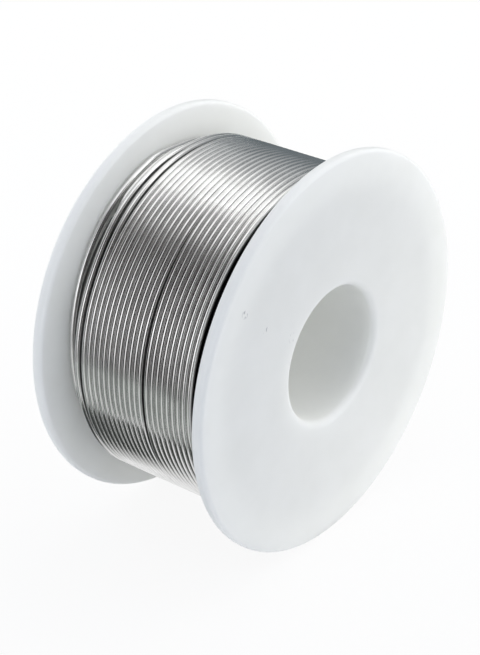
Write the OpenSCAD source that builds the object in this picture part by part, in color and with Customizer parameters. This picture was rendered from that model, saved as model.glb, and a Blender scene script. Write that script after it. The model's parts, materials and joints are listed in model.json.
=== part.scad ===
// Spool of soft solder wire.
// Two plastic flanges, each with a sleeve that lines half of the bore, are pressed into a barrel, and one long
// flux-cored wire is wound on it.
// The spool's axis lies along Y, its origin is at the middle of the bore, and it stands on its two rims.

/* [Reel] */
// Diameter of the flanges
flange_d = 52; // [42:0.5:80]
// Thickness of a flange
flange_t = 1.6; // [1.2:0.1:3]
// Rounding of a flange's rim
rim_round = 0.55; // [0.1:0.05:0.55]
// Clear width between the flanges
flange_gap = 23.3; // [12:0.1:40]
// Diameter of the bore that takes the spindle
bore_d = 17.6; // [8:0.1:20]
// Rounding of the bore's two mouths
mouth_round = 1; // [0.2:0.1:1.2]
// Wall of the sleeves that line the bore
sleeve_wall = 1.2; // [0.8:0.1:2]
// Gap between the ends of the two sleeves
sleeve_gap = 0.1; // [0.05:0.05:2]
// Clearance of a sleeve in the barrel
sleeve_clear = 0.03; // [0.01:0.01:0.1]
// Wall of the barrel
barrel_wall = 1.2; // [0.8:0.1:2.5]

/* [Wire] */
// Diameter of the solder wire
wire_d = 0.8; // [0.5:0.05:1.2]
// Diameter of the flux core
core_d = 0.3; // [0.1:0.05:0.4]
// Clearance round the flux core
core_clear = 0.01; // [0.01:0.01:0.03]

/* [Winding] */
// Depth of the empty channel between the rims and the outer layer
channel_depth = 3.5; // [2:0.1:6]
// Gap between neighbouring turns
turn_gap = 0.01; // [0:0.005:0.05]
// Clearance between the winding and a flange
side_clear = 0.1; // [0.05:0.05:0.4]
// Clearance between one length of the wire and what it lies on
lay_clear = 0.05; // [0.02:0.01:0.2]
// Turns that lie a little low against the front flange
front_turns_n = 3; // [1:1:5]
// How far those turns lie below the outer layer
front_drop = 0.35; // [0.1:0.05:0.8]
// Gap between those turns and the outer layer
front_gap = 0.43; // [0.1:0.01:0.8]
// Turns from the start of the outer layer to the place where it opens a little
open_turn = 9; // [3:1:14]
// Width of that opening
open_gap = 0.18; // [0:0.02:0.4]
// Gap between the last turn and the rest of its layer
last_gap = 0.3; // [0.2:0.05:0.5]
// Turns that lie low against the rear flange
edge_turns_n = 2; // [1:1:3]
// How far the edge turns lie below the outer layer
edge_drop = 1.3; // [0.9:0.1:2]

/* [Wire ends] */
// Place of the anchor hole round the barrel, from +X towards +Z
anchor_angle = 40; // [20:5:340]
// Part of a full circle that the first turn covers
start_turn_angle = 300; // [200:5:340]
// Plastic left between the anchor hole and the barrel's end
anchor_edge = 0.4; // [0.2:0.1:2]
// Clearance of the wire in its anchor hole
anchor_clear = 0.1; // [0.05:0.05:0.2]
// Gap between the anchored end and the sleeve behind it
anchor_short = 0.2; // [0.1:0.1:0.6]
// Place on the rim where the free end leaves the winding, from +X towards +Z
leave_angle = -45; // [-80:5:-20]
// Angle round the axis that the free end reaches over
tail_span = 60; // [40:5:70]
// How far the tip of the free end stays inside the rims
tail_inset = 0.5; // [0.2:0.1:1]
// Clearance behind the place where the free end bends
bend_clear = 0.05; // [0.02:0.01:0.2]

/* [Hidden] */
$fn = 96;

// Reel, worked out
flange_r = flange_d / 2;
bore_r = bore_d / 2;
mouth_r = bore_r + mouth_round;
sleeve_r = bore_r + sleeve_wall;
barrel_in_r = sleeve_r + sleeve_clear;
barrel_r = barrel_in_r + barrel_wall;
overall_w = flange_gap + 2 * flange_t;
flange_mid = (flange_gap + flange_t) / 2;
plastic_colour = [0.88, 0.9, 0.89];
cut = 1;

// Winding, worked out. Places along the axis are measured from the middle towards the front flange.
wire_r = wire_d / 2;
pitch = wire_d + turn_gap;
winding_r = flange_r - channel_depth;
layer_r = winding_r - wire_r;
front_end = flange_gap / 2 - side_clear;
front_step = front_end - (front_turns_n - 1) * pitch - wire_d - front_gap;
front_r = layer_r - front_drop;
first_turn = front_step - wire_r;
edge_room = edge_turns_n * pitch + side_clear;
last_room = wire_d + last_gap;
ring_room = front_step + flange_gap / 2 - edge_room - last_room - open_gap;
ring_turns = floor(ring_room / pitch);
ring_end = turn_place(ring_turns - 1) - wire_r;
last_place = ring_end - last_gap - wire_r;
rear_end = side_clear - flange_gap / 2;
edge_step = last_place - wire_r;
edge_r = layer_r - edge_drop;
inner_r = barrel_r + lay_clear;
bulk_r = layer_r - wire_r - lay_clear;
front_bulk_r = front_r - wire_r - lay_clear;
low_bulk_r = edge_r - wire_r - lay_clear;
solder_colour = [0.72, 0.72, 0.7];
flux_colour = [0.78, 0.62, 0.3];

// Wire ends, worked out
anchor_r = wire_r + anchor_clear;
start_place = flange_gap / 2 - anchor_edge - anchor_r;
start_r = inner_r + wire_r;
groove_end = start_place - wire_r - lay_clear;
groove_r = inner_r + wire_d + lay_clear;
tip_r = flange_r - tail_inset - wire_r;
tail_centre = (layer_r * layer_r - tip_r * tip_r) / (2 * (layer_r - tip_r * cos(tail_span)));
tail_r = layer_r - tail_centre;
tail_angle = atan2(tip_r * sin(tail_span), tip_r * cos(tail_span) - tail_centre);
bend_angle = asin((wire_r + bend_clear) / layer_r);
core_start = asin(wire_d / tail_r);
core_hole_r = core_d / 2 + core_clear;

// Place of a turn of the outer layer, counted from 0 at its front end
function turn_place(turn) = first_turn - turn * pitch - (turn < open_turn ? 0 : open_gap);

// Lays what is drawn about Z along the spool's axis: local Z points to the front, angles run from +X to +Z
module about_axis() {
    rotate([90, 0, 0]) children();
}

// Section of a ring, its corners rounded on the inside and the outside
module ring_section(r_in, r_out, width, round_in, round_out) {
    translate([r_in + round_in, -width / 2]) square([r_out - r_in - round_in - round_out, width]);
    if (round_in > 0) rounded_edge(r_in + round_in, r_in, width, round_in);
    if (round_out > 0) rounded_edge(r_out - round_out, r_out, width, round_out);
}

// Strip from r_from out or in to r_edge, with both corners at r_edge rounded
module rounded_edge(r_from, r_edge, width, rounding) {
    translate([min(r_from, r_edge), rounding - width / 2]) square([rounding, width - 2 * rounding]);
    for (side = [-1, 1]) {
        translate([r_from, side * (width / 2 - rounding)]) circle(rounding);
    }
}

// Row of wire sections beside each other on a common strip
module turns_section(places, centre_r) {
    last = len(places) - 1;
    translate([centre_r - wire_r, places[last]]) square([wire_r, places[0] - places[last]]);
    for (place = places) {
        translate([centre_r, place]) circle(wire_r);
    }
}

// Section of a rounded mouth of the bore, at the front
module mouth_section() {
    start = overall_w / 2 - mouth_round;
    translate([bore_r, flange_gap / 2]) square([mouth_round, start - flange_gap / 2]);
    intersection() {
        translate([mouth_r, start]) circle(mouth_round);
        translate([bore_r, start]) square(mouth_round);
    }
}

// Disc with a sleeve that lines the bore as far as the middle, at the front
module flange() {
    color(plastic_colour) about_axis() rotate_extrude() {
        translate([0, flange_mid]) ring_section(mouth_r, flange_r, flange_t, 0, rim_round);
        mouth_section();
        translate([bore_r, sleeve_gap / 2]) square([sleeve_wall, (flange_gap - sleeve_gap) / 2]);
    }
}

module front_flange() {
    flange();
}

module rear_flange() {
    mirror([0, 1, 0]) flange();
}

// Tube between the flanges, over both sleeves, with a small hole that holds the start of the wire
module barrel() {
    color(plastic_colour) about_axis() difference() {
        rotate_extrude() ring_section(barrel_in_r, barrel_r, flange_gap, 0, 0);
        translate([0, 0, start_place]) rotate([0, 90, anchor_angle]) cylinder(r = anchor_r, h = barrel_r + cut);
    }
}

// First turn on the barrel, with its end bent into the anchor hole
module wire_start() {
    end_r = barrel_in_r + anchor_short;
    color(solder_colour) about_axis() translate([0, 0, start_place]) rotate([0, 0, anchor_angle]) {
        rotate_extrude(angle = start_turn_angle) translate([start_r, 0]) circle(wire_r);
        translate([end_r, 0, 0]) rotate([0, 90, 0]) cylinder(r = wire_r, h = start_r - end_r);
        translate([start_r, 0, 0]) sphere(wire_r);
    }
}

// Section of a plain ring between two places along the axis
module band_section(r_in, r_out, from, to) {
    translate([r_in, from]) square([r_out - r_in, to - from]);
}

// Bulk of the wire, with a groove for the first turn and a low shoulder under the turns at either end
module inner_layers() {
    color(solder_colour) about_axis() rotate_extrude() {
        band_section(inner_r, low_bulk_r, rear_end, groove_end);
        band_section(groove_r, front_bulk_r, edge_step, front_end);
        band_section(groove_r, bulk_r, edge_step, front_step);
    }
}

// Turns beside the front flange, a little lower than the outer layer
module front_turns() {
    places = [for (turn = [0 : front_turns_n - 1]) front_end - wire_r - turn * pitch];
    color(solder_colour) about_axis() rotate_extrude() turns_section(places, front_r);
}

// Visible close layer of turns
module outer_layer() {
    places = [for (turn = [0 : ring_turns - 1]) turn_place(turn)];
    color(solder_colour) about_axis() rotate_extrude() turns_section(places, layer_r);
}

// Last turn of the outer layer, which ends where the free end bends away
module last_turn() {
    color(solder_colour) about_axis() translate([0, 0, last_place]) {
        rotate([0, 0, leave_angle + tail_span]) rotate_extrude(angle = 360 - tail_span - bend_angle)
            translate([layer_r, 0]) circle(wire_r);
    }
}

// Low turns beside the rear flange
module edge_turns() {
    rear_place = rear_end + wire_r;
    places = [for (turn = [edge_turns_n - 1 : -1 : 0]) rear_place + turn * pitch];
    color(solder_colour) about_axis() rotate_extrude() turns_section(places, edge_r);
}

// Stretch of the arc that the free end follows, from the place where it leaves the winding
module tail_arc(section_r, from_angle, to_angle) {
    about_axis() rotate([0, 0, leave_angle]) translate([tail_centre, 0, last_place]) rotate([0, 0, from_angle])
        rotate_extrude(angle = to_angle - from_angle) translate([tail_r, 0]) circle(section_r);
}

// Free end of the wire, hollow where the flux core lies
module wire_end() {
    color(solder_colour) difference() {
        tail_arc(wire_r, 0, tail_angle);
        tail_arc(core_hole_r, core_start, tail_angle + cut);
    }
}

// Rosin in the free end, flush with its cut face
module flux_core() {
    color(flux_colour) tail_arc(core_d / 2, core_start, tail_angle);
}

front_flange();
rear_flange();
barrel();
wire_start();
inner_layers();
front_turns();
outer_layer();
last_turn();
edge_turns();
wire_end();
flux_core();
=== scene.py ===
import json
import math

import bpy
from mathutils import Matrix, Vector, noise


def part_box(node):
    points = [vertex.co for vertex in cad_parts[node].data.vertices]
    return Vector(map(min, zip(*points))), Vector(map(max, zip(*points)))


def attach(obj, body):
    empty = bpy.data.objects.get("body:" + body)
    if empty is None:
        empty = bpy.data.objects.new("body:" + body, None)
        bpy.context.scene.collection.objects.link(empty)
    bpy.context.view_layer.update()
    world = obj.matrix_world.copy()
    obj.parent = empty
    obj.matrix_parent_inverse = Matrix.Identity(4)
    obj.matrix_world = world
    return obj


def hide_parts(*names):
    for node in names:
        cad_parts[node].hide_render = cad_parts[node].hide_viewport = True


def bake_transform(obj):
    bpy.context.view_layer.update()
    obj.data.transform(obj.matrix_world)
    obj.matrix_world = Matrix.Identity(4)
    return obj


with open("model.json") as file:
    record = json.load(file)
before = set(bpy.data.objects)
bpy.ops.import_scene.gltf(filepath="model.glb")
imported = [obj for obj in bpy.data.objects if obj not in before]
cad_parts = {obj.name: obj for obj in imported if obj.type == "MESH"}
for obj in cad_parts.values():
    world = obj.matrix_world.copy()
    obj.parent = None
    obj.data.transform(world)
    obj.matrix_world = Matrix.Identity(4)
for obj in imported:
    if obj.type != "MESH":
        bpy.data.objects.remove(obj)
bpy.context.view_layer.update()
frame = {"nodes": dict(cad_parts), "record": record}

# Spool of soft solder wire on a white plastic reel. Metres, in the frame of the solids: the axis lies along
# Y, the front flange faces -Y, and angles round the axis run from +X towards +Z.
MM = 0.001

# Sizes read from the frame
flange_low, flange_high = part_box("front_flange")
rear_low, rear_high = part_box("rear_flange")
barrel_low, barrel_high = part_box("barrel")
front_low, front_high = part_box("front_turns")
layer_low, layer_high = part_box("outer_layer")
last_low, last_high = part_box("last_turn")
edge_low, edge_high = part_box("edge_turns")
bore = next(m for m in frame["record"]["mounts"] if m["kind"] == "bore")

flange_r = flange_high.x
front_face = flange_low.y
front_inside = barrel_low.y
front_sleeve_end = flange_high.y
rear_sleeve_end = rear_low.y
rear_inside = barrel_high.y
rear_face = rear_high.y
bore_r = bore["dims"]["r_mm"] * MM
barrel_r = barrel_high.x
wire_r = (last_high.y - last_low.y) / 2
front_r = front_high.z - wire_r
layer_r = layer_high.z - wire_r
last_place = (last_high.y + last_low.y) / 2
edge_r = edge_high.z - wire_r
edge_place = edge_high.y - wire_r
core_low, core_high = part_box("flux_core")
core_r = (core_high.y - core_low.y) / 2

# Sizes of the reel that no box gives
SLEEVE_R = 10 * MM
SLEEVE_CLEAR = 0.03 * MM
RIM_ROUND = 0.55 * MM
MOUTH_ROUND = 1 * MM

# Places of small scuffs on the front face, along X and Z
SCUFFS = ((-17.75 * MM, 13.3 * MM), (-13.8 * MM, 9.4 * MM), (-8.85 * MM, 6.3 * MM))

# Lay of the wire
FRONT_TURNS = 3
RING_TURNS = 21
OPEN_TURN = 9
OPEN_GAP = 0.18 * MM
pitch = (layer_high.y - layer_low.y - 2 * wire_r - OPEN_GAP) / (RING_TURNS - 1)
layer_step = pitch * math.sin(math.radians(60))
first_place = layer_low.y + wire_r
WIRE_SKIN = 0.015 * MM
LAY_CLEAR = 0.05 * MM
CROSS_FROM = 345
CROSS_SPAN = 35
CROSS_LIFT = 0.08 * MM
LEAVE_ANGLE = 315
TAIL_SPAN = 60
TAIL_INSET = 0.5 * MM
CORE_HOLE_R = 0.16 * MM

# Camera, as fitted to the two flanges of the photograph, 480 by 655 pixels
VIEW_AZIMUTH = -52.066
VIEW_ELEVATION = 28.605
VIEW_DISTANCE = 9.16 * flange_r
VIEW_PAN = 0.292
VIEW_TILT = 0.13
FOCAL_PIXELS = 1877.6
IMAGE_LONG_SIDE = 655

# Studio
LIGHT_TINT = (1.0, 1.0, 0.995)
FLOOR_GLOW = 0.9
CARD_R = 0.085
STRIP_R = 0.083
CARD_FOOT = 0.038
NEAR_FOOT = 0.0175
BACK_SHADE = (0.735, 0.77, 0.84)
FRONT_SHADE = (0.46, 0.50, 0.58)


# Small helpers

def smooth_step(value, start, end):
    """0 before start, 1 after end, smooth between."""
    t = min(1, max(0, (value - start) / (end - start)))
    return t * t * (3 - 2 * t)


def hump(angle, rise_from, rise_to, fall_from, fall_to):
    """1 between rise_to and fall_from, 0 well outside."""
    return smooth_step(angle, rise_from, rise_to) * (1 - smooth_step(angle, fall_from, fall_to))


def between(keys, angle):
    """Value at an angle, smooth between (angle, value) pairs."""
    for (a, low), (b, high) in zip(keys, keys[1:]):
        if angle <= b:
            return low + (high - low) * smooth_step(angle, a, b)
    return keys[-1][1]


def round_axis(radius, degrees, place):
    """Point at a radius and an angle round the spool's axis."""
    a = math.radians(degrees)
    return Vector((radius * math.cos(a), place, radius * math.sin(a)))


def arc(centre, radius, start, end, steps):
    """Points of a round corner in a profile of (radius, place) pairs."""
    points = []
    for i in range(steps + 1):
        a = math.radians(start + (end - start) * i / steps)
        points.append((centre[0] + radius * math.cos(a), centre[1] + radius * math.sin(a)))
    return points


def new_object(name, vertices, faces, uvs=None):
    """Mesh object from lists, shaded smooth but for its sharp edges."""
    mesh = bpy.data.meshes.new(name)
    mesh.from_pydata(vertices, [], faces)
    if uvs:
        layer = mesh.uv_layers.new(name="along")
        for loop in mesh.loops:
            layer.data[loop.index].uv = uvs[loop.vertex_index]
    mesh.validate()
    mesh.shade_smooth()
    mesh.set_sharp_from_angle(angle=math.radians(40))
    obj = bpy.data.objects.new(name, mesh)
    bpy.context.scene.collection.objects.link(obj)
    return obj


def lathe(name, profile, steps):
    """Closed ring turned round the spool's axis from a closed profile of (radius, place) pairs."""
    count = len(profile)
    vertices = [round_axis(r, 360 * i / steps, y) for i in range(steps) for r, y in profile]
    faces = []
    for i in range(steps):
        for j in range(count):
            a = i * count + j
            b = i * count + (j + 1) % count
            c = (i + 1) % steps * count + (j + 1) % count
            d = (i + 1) % steps * count + j
            faces.append((a, b, c, d))
    return new_object(name, vertices, faces)


def wire(name, path, radius, sides, hole_r=0, hole_from=0):
    """Round wire along a path round the spool's axis, with a hole from one of its points to the far end."""
    last = len(path) - 1
    rings = [(i, radius) for i in range(last + 1)]
    if hole_r:
        rings += [(i, hole_r) for i in range(last, hole_from - 1, -1)]
    lengths = [0]
    for start, end in zip(path, path[1:]):
        lengths.append(lengths[-1] + (end - start).length)
    vertices = []
    uvs = []
    for i, ring_r in rings:
        along = (path[min(last, i + 1)] - path[max(0, i - 1)]).normalized()
        across = (Vector((0, 1, 0)) - along * along.y).normalized()
        out = across.cross(along)
        for j in range(sides):
            a = 2 * math.pi * j / sides + math.pi
            vertices.append(path[i] + (out * math.cos(a) + across * math.sin(a)) * ring_r)
            uvs.append((lengths[i] / (2 * radius), j / sides))
    faces = [tuple(reversed(range(sides)))]
    for i in range(len(rings) - 1):
        for j in range(sides):
            a = i * sides + j
            b = i * sides + (j + 1) % sides
            faces.append((a, b, b + sides, a + sides))
    faces.append(tuple(range(len(vertices) - sides, len(vertices))))
    return new_object(name, vertices, faces, uvs)


# Materials

class Shader:
    """A material's nodes, with short calls to add and join them."""

    def __init__(self, name):
        self.material = bpy.data.materials.new(name)
        self.material.use_nodes = True
        self.tree = self.material.node_tree
        self.surface = self.tree.nodes["Principled BSDF"]

    def add(self, kind, **settings):
        node = self.tree.nodes.new(kind)
        for key, value in settings.items():
            setattr(node, key, value)
        return node

    def join(self, source, target):
        self.tree.links.new(source, target)

    def set(self, **values):
        for key, value in values.items():
            self.surface.inputs[key.replace("_", " ")].default_value = value

    def noise(self, vector, scale, detail=2.0, roughness=0.5):
        node = self.add("ShaderNodeTexNoise")
        node.inputs["Scale"].default_value = scale
        node.inputs["Detail"].default_value = detail
        node.inputs["Roughness"].default_value = roughness
        self.join(vector, node.inputs["Vector"])
        return node.outputs["Fac"]

    def stretch(self, vector, scale):
        node = self.add("ShaderNodeVectorMath", operation="MULTIPLY")
        node.inputs[1].default_value = scale
        self.join(vector, node.inputs[0])
        return node.outputs["Vector"]

    def ramp(self, fac, low, high, start=0.3, end=0.7):
        """Colours from low to high as fac goes from start to end."""
        node = self.add("ShaderNodeValToRGB")
        node.color_ramp.elements[0].position = start
        node.color_ramp.elements[0].color = (*low, 1)
        node.color_ramp.elements[1].position = end
        node.color_ramp.elements[1].color = (*high, 1)
        self.join(fac, node.inputs["Fac"])
        return node.outputs["Color"]

    def spread(self, fac, low, high, start=0.3, end=0.7):
        """Number from low to high as fac goes from start to end."""
        node = self.add("ShaderNodeMapRange")
        for socket, value in zip(("From Min", "From Max", "To Min", "To Max"), (start, end, low, high)):
            node.inputs[socket].default_value = value
        self.join(fac, node.inputs["Value"])
        return node.outputs["Result"]

    def distance(self, vector, point):
        node = self.add("ShaderNodeVectorMath", operation="DISTANCE")
        node.inputs[1].default_value = point
        self.join(vector, node.inputs[0])
        return node.outputs["Value"]

    def times(self, first, second):
        node = self.add("ShaderNodeMath", operation="MULTIPLY")
        self.join(first, node.inputs[0])
        self.join(second, node.inputs[1])
        return node.outputs[0]

    def mix(self, fac, under, over):
        """Colour over laid on what is under it, as far as fac says."""
        node = self.add("ShaderNodeMixRGB")
        node.inputs["Color2"].default_value = (*over, 1)
        self.join(fac, node.inputs["Fac"])
        self.join(under, node.inputs["Color1"])
        return node.outputs["Color"]

    def bump(self, height, strength, distance):
        node = self.add("ShaderNodeBump")
        node.inputs["Strength"].default_value = strength
        node.inputs["Distance"].default_value = distance
        self.join(height, node.inputs["Height"])
        self.join(node.outputs["Normal"], self.surface.inputs["Normal"])


def reel_plastic():
    """White translucent moulding: faint milky mottle, fine satin grain, small scuffs on the front face."""
    s = Shader("reel_plastic")
    place = s.add("ShaderNodeTexCoord").outputs["Object"]
    mottle = s.noise(place, 180, 3)
    grain = s.noise(place, 2600, 2)
    colour = s.ramp(mottle, (0.885, 0.885, 0.838), (0.915, 0.915, 0.868))
    wear_and_groove_shade = s.spread(s.noise(s.stretch(place, (1, 1, 0.4)), 3200, 1), 0, 1, 0.53, 0.61)
    for x, z in SCUFFS:
        near = s.spread(s.distance(place, (x, front_face, z)), 1, 0, 0.3 * MM, 0.75 * MM)
        colour = s.mix(s.times(wear_and_groove_shade, near), colour, (0.48, 0.48, 0.48))
    s.join(colour, s.surface.inputs["Base Color"])
    s.join(s.spread(grain, 0.34, 0.46), s.surface.inputs["Roughness"])
    s.set(Subsurface_Weight=0.8, Subsurface_Radius=(1.0, 1.0, 1.0), Subsurface_Scale=2.5 * MM, IOR=1.49)
    s.bump(grain, 0.06, 0.05 * MM)
    return s.material


def solder(name, dull, bright):
    """Drawn soft metal: fine lines along the wire, small dull patches, rougher where the turns touch, with
    painted shade darkening the grooves there.
    """
    s = Shader(name)
    coordinates = s.add("ShaderNodeTexCoord")
    lines = s.noise(s.stretch(coordinates.outputs["UV"], (0.12, 12, 1)), 1.0, 2)
    patches = s.noise(coordinates.outputs["Object"], 420, 3)
    place = s.add("ShaderNodeSeparateXYZ")
    s.join(coordinates.outputs["UV"], place.inputs[0])
    inward = s.add("ShaderNodeMath", operation="PINGPONG")
    inward.inputs[1].default_value = 0.5
    s.join(place.outputs["Y"], inward.inputs[0])
    flank = s.spread(inward.outputs[0], 1, 0, 0.28, 0.40)
    colour = s.ramp(patches, dull, bright)
    # Painted shade: the base colour is darkened to 0.4 of the dull tone on the wire's flanks, in the grooves
    # between turns.
    wear_and_groove_shade = s.mix(s.spread(flank, 0, 0.3, 0, 1), colour, [0.4 * share for share in dull])
    s.join(wear_and_groove_shade, s.surface.inputs["Base Color"])
    roughness = s.add("ShaderNodeMath", operation="MULTIPLY_ADD")
    roughness.inputs[1].default_value = 0.16
    s.join(flank, roughness.inputs[0])
    s.join(s.spread(lines, 0.10, 0.17), roughness.inputs[2])
    s.join(roughness.outputs[0], s.surface.inputs["Roughness"])
    s.set(Metallic=1.0)
    s.bump(lines, 0.03, 0.03 * MM)
    return s.material


def rosin():
    """Amber flux in the cut end."""
    s = Shader("rosin")
    place = s.add("ShaderNodeTexCoord").outputs["Object"]
    cloud = s.noise(place, 3000, 2)
    s.join(s.ramp(cloud, (0.50, 0.30, 0.08), (0.66, 0.44, 0.15)), s.surface.inputs["Base Color"])
    s.set(Roughness=0.25, IOR=1.53)
    return s.material


plastic = reel_plastic()
metal = solder("solder", (0.73, 0.73, 0.725), (0.84, 0.84, 0.835))
# Dark copy of the solder: painted shade for the under layers and the bulk ring, which show only in deep gaps
# between turns.
shaded_metal = solder("shaded_solder", (0.16, 0.16, 0.16), (0.24, 0.24, 0.24))
amber = rosin()


def dress(obj, material):
    obj.data.materials.clear()
    obj.data.materials.append(material)
    return obj


# Reel

def make_flange(name, node, outer, inner, sleeve_end):
    """Disc with a rounded rim and a sleeve that lines half of the bore, from the places of its ends."""
    side = 1 if outer > inner else -1
    rim = flange_r - RIM_ROUND
    mouth = bore_r + MOUTH_ROUND
    profile = [(bore_r, sleeve_end), (SLEEVE_R, sleeve_end)]
    profile += [(r, inner) for r in (SLEEVE_R, layer_r)]
    profile += arc((rim, inner + side * RIM_ROUND), RIM_ROUND, -90 * side, 0, 8)
    profile += arc((rim, outer - side * RIM_ROUND), RIM_ROUND, 0, 90 * side, 8)
    profile += [(r, outer) for r in (layer_r, barrel_r)]
    profile += arc((mouth, outer - side * MOUTH_ROUND), MOUTH_ROUND, 90 * side, 180 * side, 12)
    if side < 0:
        profile.reverse()
    obj = lathe(name, profile, 240)
    dress(obj, plastic)
    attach(obj, "spool")
    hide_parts(node)


def make_barrel():
    """Tube over both sleeves, between the flanges."""
    hole_r = SLEEVE_R + SLEEVE_CLEAR
    profile = [(hole_r, front_inside), (barrel_r, front_inside)]
    profile += [(barrel_r, rear_inside), (hole_r, rear_inside)]
    obj = lathe("barrel_tube", profile, 160)
    dress(obj, plastic)
    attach(obj, "spool")
    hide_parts("barrel")


make_flange("front_flange_disc", "front_flange", front_face, front_inside, front_sleeve_end)
make_flange("rear_flange_disc", "rear_flange", rear_face, rear_inside, rear_sleeve_end)
make_barrel()


# Winding

tracks = [front_low.y + wire_r + k * pitch for k in range(FRONT_TURNS)]
tracks += [first_place + k * pitch + (0 if k < OPEN_TURN else OPEN_GAP) for k in range(RING_TURNS)]
tracks.append(last_place)
AFTER_OPENING = FRONT_TURNS + OPEN_TURN
BEFORE_LAST = FRONT_TURNS + RING_TURNS - 1
CLIMB_ANGLE = CROSS_FROM + 360 * (FRONT_TURNS - 1)
CLOSING_TURNS = 6
GAPE = 0.05 * MM
WAVER = 0.03 * MM
BEFORE_LAST_SHIFT = 0.30 * MM
LAST_SHIFT = 0.40 * MM
TURN_STEPS = 120
WIRE_SIDES = 16


def waver(angle, turn):
    """Slight unevenness of the lay, much alike on neighbouring turns."""
    a = math.radians(angle)
    return WAVER * noise.noise(Vector((1.7 * math.cos(a), 1.7 * math.sin(a), 0.35 * turn)))


def crossing(angle, places):
    """(turn, place, lift) of a wire that runs straight and steps to the next track over a short stretch."""
    done = angle - CROSS_FROM
    turn = math.floor(done / 360)
    if turn < 0:
        return 0, places[0], 0
    t = smooth_step(done - 360 * turn, 0, CROSS_SPAN)
    low = places[min(turn, len(places) - 1)]
    high = places[min(turn + 1, len(places) - 1)]
    return turn + (1 if t > 0.5 else 0), low + (high - low) * t, CROSS_LIFT * 4 * t * (1 - t)


def closing(angle, turn):
    """Shift of the turns beside the layer's small opening: closed over the top, gaping on the left."""
    steps = turn - AFTER_OPENING + 0.5
    share = max(0, 1 - (abs(steps) - 0.5) / CLOSING_TURNS)
    shift = OPEN_GAP / 2 * hump(angle, 25, 60, 112, 150) - GAPE * hump(angle, 135, 165, 215, 250)
    return -math.copysign(share, steps) * shift


def outer_point(angle):
    """Point of the outer layer's wire, at an angle counted on from turn to turn."""
    turn, place, lift = crossing(angle, tracks)
    local = angle % 360
    place += closing(local, turn)
    if turn == BEFORE_LAST:
        place += BEFORE_LAST_SHIFT * hump(local, 40, 70, 118, 150)
    if turn == BEFORE_LAST + 1:
        place += LAST_SHIFT * hump(local, 84, 108, 120, 150)
    dive = 1 - smooth_step(angle, -40, 15)
    radius = front_r + (layer_r - front_r) * smooth_step(angle, CLIMB_ANGLE, CLIMB_ANGLE + CROSS_SPAN)
    return round_axis(radius + lift - dive * layer_step, local, place + waver(local, turn))


def steps_between(start, end):
    count = round((end - start) / 360 * TURN_STEPS)
    return [start + (end - start) * i / count for i in range(count + 1)]


SEAM_ANGLE = 360 * (BEFORE_LAST + 1) + 275
END_ANGLE = 360 * (BEFORE_LAST + 1) + LEAVE_ANGLE
outer_path = [outer_point(a) for a in steps_between(-40, SEAM_ANGLE)]
outer = wire("outer_layer_wire", outer_path, wire_r - WIRE_SKIN, WIRE_SIDES)
dress(outer, metal)
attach(outer, "spool")
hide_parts("front_turns", "outer_layer", "last_turn")

# Layer under it, which shows in the gaps

def make_under_layer(name, places):
    """One layer's wire, whose two ends sink into the bulk of the winding."""
    end = 360 * (len(places) - 1) + 340

    def point(angle):
        _, place, _ = crossing(angle, places)
        sunk = 1 - smooth_step(angle, 0, 40) + smooth_step(angle, end - 40, end)
        return round_axis(layer_r - layer_step - 2 * wire_r * sunk, angle % 360, place - 2 * wire_r * sunk)

    under = wire(name, [point(a) for a in steps_between(0, end)], wire_r - WIRE_SKIN, 10)
    # Painted shade: the under layer wears the dark copy of the solder.
    dress(under, shaded_metal)
    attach(under, "spool")


under_tracks = [y + pitch / 2 for y in tracks[:BEFORE_LAST]]
under_tracks += [tracks[BEFORE_LAST] + 0.5 * MM, last_place + 0.35 * MM]
make_under_layer("under_layer_front_wire", under_tracks[FRONT_TURNS:AFTER_OPENING - 1])
make_under_layer("under_layer_rear_wire", under_tracks[AFTER_OPENING:])

# Two turns that lie low beside the rear flange and ride up for a short stretch
EDGE_RISE = ((0, 0), (60, 0.4), (88, 0.6), (104, 1.2), (124, 1.2), (185, 0), (360, 0))
SECOND_RISE = ((0, 0), (70, 0.1), (100, 0.7), (118, 0.7), (134, 0), (360, 0))
SECOND_SHIFT = ((0, 0), (80, 0.05), (100, 0.25), (118, 0.25), (140, 0), (360, 0))


def edge_point(angle):
    _, place, _ = crossing(angle, [edge_place, edge_place - pitch])
    local = angle % 360
    first = 1 - smooth_step(angle, CROSS_FROM, CROSS_FROM + CROSS_SPAN)
    rise = first * between(EDGE_RISE, local) + (1 - first) * between(SECOND_RISE, local)
    shift = (1 - first) * between(SECOND_SHIFT, local)
    dive = 1 - smooth_step(angle, -30, 15) + smooth_step(angle, 640, 690)
    return round_axis(edge_r + (rise - dive) * MM, local, place + shift * MM)


edge_path = [edge_point(a) for a in steps_between(-30, 690)]
edge = wire("edge_turns_wire", edge_path, wire_r - WIRE_SKIN, WIRE_SIDES)
dress(edge, metal)
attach(edge, "spool")
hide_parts("edge_turns")

# Bulk of the winding under those
bulk_low, bulk_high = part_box("inner_layers")
bulk_r = layer_r - layer_step - wire_r
step_place = last_place + wire_r
low_r = edge_r - wire_r - LAY_CLEAR
bulk_in_r = barrel_r + LAY_CLEAR
start_low, start_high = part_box("wire_start")
groove_r = start_high.z + LAY_CLEAR
groove_end = start_high.y + LAY_CLEAR
bulk_profile = [
    (bulk_in_r, groove_end), (groove_r, groove_end), (groove_r, bulk_low.y), (bulk_r, bulk_low.y),
    (bulk_r, step_place), (low_r, step_place), (low_r, bulk_high.y), (bulk_in_r, bulk_high.y),
]
bulk = lathe("inner_layers_ring", bulk_profile, 160)
# Painted shade: the bulk ring wears the dark copy of the solder.
dress(bulk, shaded_metal)
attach(bulk, "spool")
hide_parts("inner_layers")

dress(frame["nodes"]["wire_start"], metal)

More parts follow.
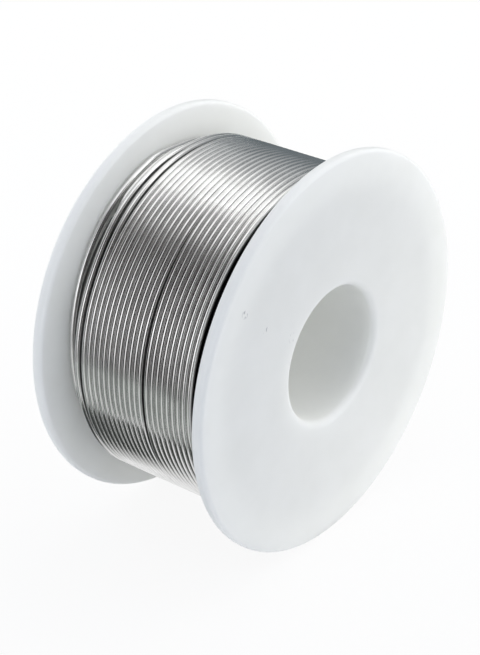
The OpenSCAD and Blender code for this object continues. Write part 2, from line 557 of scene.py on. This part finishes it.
# Free end: the last stretch of the last turn, then the tail, bending where it leaves the winding
tip_r = flange_r - TAIL_INSET - wire_r
tail_centre = (layer_r ** 2 - tip_r ** 2) / (2 * (layer_r - tip_r * math.cos(math.radians(TAIL_SPAN))))
tail_r = layer_r - tail_centre
span = math.radians(TAIL_SPAN)
tail_angle = math.degrees(math.atan2(tip_r * math.sin(span), tip_r * math.cos(span) - tail_centre))
tail_middle = round_axis(tail_centre, LEAVE_ANGLE, last_place)
TAIL_STEPS = 40

end_path = [outer_point(a) for a in steps_between(SEAM_ANGLE, END_ANGLE)]
core_from = len(end_path) + 1
for i in range(1, TAIL_STEPS + 1):
    angle = LEAVE_ANGLE + tail_angle * i / TAIL_STEPS
    end_path.append(tail_middle + round_axis(tail_r, angle, 0))


def bend(obj):
    """Bakes the placement into the mesh; the free end's bend where it leaves the winding lies in its path
    already.
    """
    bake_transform(obj)


free_end = wire("free_end_wire", end_path, wire_r - WIRE_SKIN, WIRE_SIDES, CORE_HOLE_R, core_from)
dress(free_end, metal)
bend(free_end)
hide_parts("wire_end")

core = wire("flux_core_rod", end_path[core_from + 1:], core_r, 12)
dress(core, amber)
bend(core)
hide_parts("flux_core")


# Camera

def make_camera():
    a = math.radians(VIEW_AZIMUTH)
    e = math.radians(VIEW_ELEVATION)
    back = Vector((math.sin(a) * math.cos(e), -math.cos(a) * math.cos(e), math.sin(e)))
    right = Vector((math.cos(a), math.sin(a), 0))
    up = back.cross(right)
    place = back * VIEW_DISTANCE
    pan = math.radians(VIEW_PAN)
    tilt = math.radians(VIEW_TILT)
    panned = back * math.cos(pan) + right * math.sin(pan)
    right = right * math.cos(pan) - back * math.sin(pan)
    back = panned * math.cos(tilt) + up * math.sin(tilt)
    up = up * math.cos(tilt) - panned * math.sin(tilt)
    data = bpy.data.cameras.new("camera")
    data.lens = FOCAL_PIXELS * data.sensor_width / IMAGE_LONG_SIDE
    data.clip_start = 0.01
    camera = bpy.data.objects.new("camera", data)
    turned = Matrix((right, up, back)).transposed().to_4x4()
    camera.matrix_world = Matrix.Translation(place) @ turned
    bpy.context.scene.collection.objects.link(camera)
    bpy.context.scene.camera = camera


make_camera()


# Studio

def add_seen(tree, rays):
    """1 for rays that come from the camera, directly or by way of gloss or glass."""
    total = rays.outputs["Is Camera Ray"]
    for kind in ("Is Glossy Ray", "Is Transmission Ray"):
        node = tree.nodes.new("ShaderNodeMath")
        node.operation = "MAXIMUM"
        tree.links.new(total, node.inputs[0])
        tree.links.new(rays.outputs[kind], node.inputs[1])
        total = node.outputs[0]
    return total


def make_floor():
    size = 3
    z = -flange_r
    corners = [(-size, -size, z), (size, -size, z), (size, size, z), (-size, size, z)]
    floor = new_object("floor", corners, [(0, 1, 2, 3)])
    s = Shader("floor")
    s.set(Base_Color=(0.93, 0.93, 0.93, 1), Roughness=0.9)
    seen = add_seen(s.tree, s.add("ShaderNodeLightPath"))
    share = s.add("ShaderNodeMath", operation="MULTIPLY")
    share.inputs[1].default_value = FLOOR_GLOW
    s.join(seen, share.inputs[0])
    glow = s.add("ShaderNodeEmission")
    mix = s.add("ShaderNodeMixShader")
    s.join(share.outputs[0], mix.inputs["Fac"])
    s.join(s.surface.outputs["BSDF"], mix.inputs[1])
    s.join(glow.outputs["Emission"], mix.inputs[2])
    s.join(mix.outputs["Shader"], s.tree.nodes["Material Output"].inputs["Surface"])
    floor.data.materials.append(s.material)


def make_softbox(name, direction, distance, width, depth, power):
    data = bpy.data.lights.new(name, "AREA")
    data.shape = "RECTANGLE"
    data.size = width
    data.size_y = depth
    data.energy = power
    data.color = LIGHT_TINT
    lamp = bpy.data.objects.new(name, data)
    aim = Vector(direction).normalized()
    lamp.location = aim * distance
    lamp.rotation_euler = aim.to_track_quat("Z", "Y").to_euler()
    bpy.context.scene.collection.objects.link(lamp)


def make_card(name, angles, low, high, colour, soft=None, shade=None, top_angles=None, glow=(1, 1)):
    """Curved card out of the camera's sight that the bright wire mirrors.

    angles are those of its two ends from +X towards +Y, and low and high are (radius, height) pairs. soft
    gives the shares of the card over which it fades to white at its start, its end and its top. shade is what
    the plastic sees of it, top_angles makes it lean, and glow is its strength at the bottom and the top.
    """
    steps = 24
    vertices = []
    uvs = []
    for i in range(steps + 1):
        for v, (r, z), (start, end) in ((0, low, angles), (1, high, top_angles or angles)):
            a = math.radians(start + (end - start) * i / steps)
            vertices.append((r * math.cos(a), r * math.sin(a), z))
            uvs.append((i / steps, v))
    faces = [(2 * i, 2 * i + 1, 2 * i + 3, 2 * i + 2) for i in range(steps)]
    card = new_object(name, vertices, faces, uvs)
    s = Shader(name)
    place = s.add("ShaderNodeSeparateXYZ")
    s.join(s.add("ShaderNodeTexCoord").outputs["UV"], place.inputs[0])
    across = place.outputs["X"]
    upward = place.outputs["Y"]
    light = s.add("ShaderNodeEmission")
    light.inputs["Color"].default_value = (*colour, 1)
    s.join(s.spread(upward, *glow, 0, 1), light.inputs["Strength"])
    if soft:
        sides = s.times(s.spread(across, 0, 1, 0, soft[0]), s.spread(across, 1, 0, 1 - soft[1], 1))
        inside = s.times(sides, s.spread(upward, 1, 0, 1 - soft[2], 1))
        s.join(s.ramp(inside, (1, 1, 1), colour, 0, 1), light.inputs["Color"])
    s.join(light.outputs["Emission"], s.tree.nodes["Material Output"].inputs["Surface"])
    if shade:
        dim = s.add("ShaderNodeEmission")
        dim.inputs["Color"].default_value = (*shade, 1)
        mix = s.add("ShaderNodeMixShader")
        s.join(s.add("ShaderNodeLightPath").outputs["Is Diffuse Ray"], mix.inputs["Fac"])
        s.join(light.outputs["Emission"], mix.inputs[1])
        s.join(dim.outputs["Emission"], mix.inputs[2])
        s.join(mix.outputs["Shader"], s.tree.nodes["Material Output"].inputs["Surface"])
    card.data.materials.append(s.material)
    card.visible_camera = False
    card.visible_diffuse = shade is not None
    card.visible_transmission = False
    card.visible_shadow = False


def at_height(degrees, radius=CARD_R):
    """(radius, height) of a place on a card that is seen from the spool at an angle above the horizon."""
    return radius, radius * math.tan(math.radians(degrees))


def make_cards():
    """Dark cards on the left behind a slanting strip of light, a grey one on the right, grey feet, and a dark
    sheet on the floor beside the spool that is a painted shadow, seen only in the wire.
    """
    floor = -flange_r + 0.5 * MM
    corner = (CARD_R, floor)
    dark = (0.028, 0.022, 0.025)
    white = (1, 1, 1)
    edge = 0.001
    make_card("left_back_card", (76, 182), corner, at_height(68), dark, (0.13, edge, 0.5), BACK_SHADE)
    make_card("left_front_card", (182, 282), corner, at_height(68), dark, (edge, 0.15, 0.5), FRONT_SHADE)
    make_card("right_card", (-58, 58), corner, at_height(60), (0.16, 0.185, 0.2), (0.09, 0.09, 0.6))
    middle = at_height(14, STRIP_R)
    make_card("strip_low_card", (166, 198), (STRIP_R, floor), middle, white, glow=(0.5, 1.4))
    make_card("strip_high_card", (166, 198), middle, at_height(56, STRIP_R), white, top_angles=(187, 217),
              glow=(1.4, 0.75))
    for name, angles, colour in (
        ("left_back_foot", (95, 166), (0.24, 0.265, 0.25)),
        ("strip_foot", (166, 198), (0.72, 0.73, 0.72)),
        ("left_front_foot", (198, 258), (0.24, 0.265, 0.25)),
        ("right_foot", (-50, 53), (0.42, 0.435, 0.435)),
    ):
        make_card(name, angles, (CARD_FOOT, floor), corner, colour)
    # Painted shadow: dark sheet on the floor beside the spool, seen only in the wire, standing in for the
    # spool's shadow there.
    make_card("painted_shadow_foot", (136, 202), (CARD_FOOT, floor), (NEAR_FOOT, floor), (0.05, 0.055, 0.052),
              (0.1, 0.1, 0.3))


def make_world():
    world = bpy.data.worlds.new("studio")
    bpy.context.scene.world = world
    world.use_nodes = True
    tree = world.node_tree
    background = tree.nodes["Background"]
    rays = tree.nodes.new("ShaderNodeLightPath")
    mix = tree.nodes.new("ShaderNodeMix")
    mix.data_type = "RGBA"
    mix.inputs["A"].default_value = (0.675, 0.69, 0.715, 1)
    mix.inputs["B"].default_value = (1, 1, 1, 1)
    seen = add_seen(tree, rays)
    tree.links.new(seen, mix.inputs["Factor"])
    tree.links.new(mix.outputs["Result"], background.inputs["Color"])


make_floor()
make_softbox("overhead", (0.25, 0, 1), distance=0.45, width=0.5, depth=0.9, power=0.3)
make_softbox("front", (0.9, -0.95, 0.45), distance=0.6, width=1.6, depth=1.0, power=5.0)
make_softbox("left", (-0.96, -0.04, 0.23), distance=0.35, width=0.13, depth=0.2, power=0.1)
make_softbox("back", (0.05, 0.9, 0.14), distance=0.5, width=0.5, depth=0.3, power=0.7)
make_cards()
make_world()

view = bpy.context.scene.view_settings
view.view_transform = "Standard"
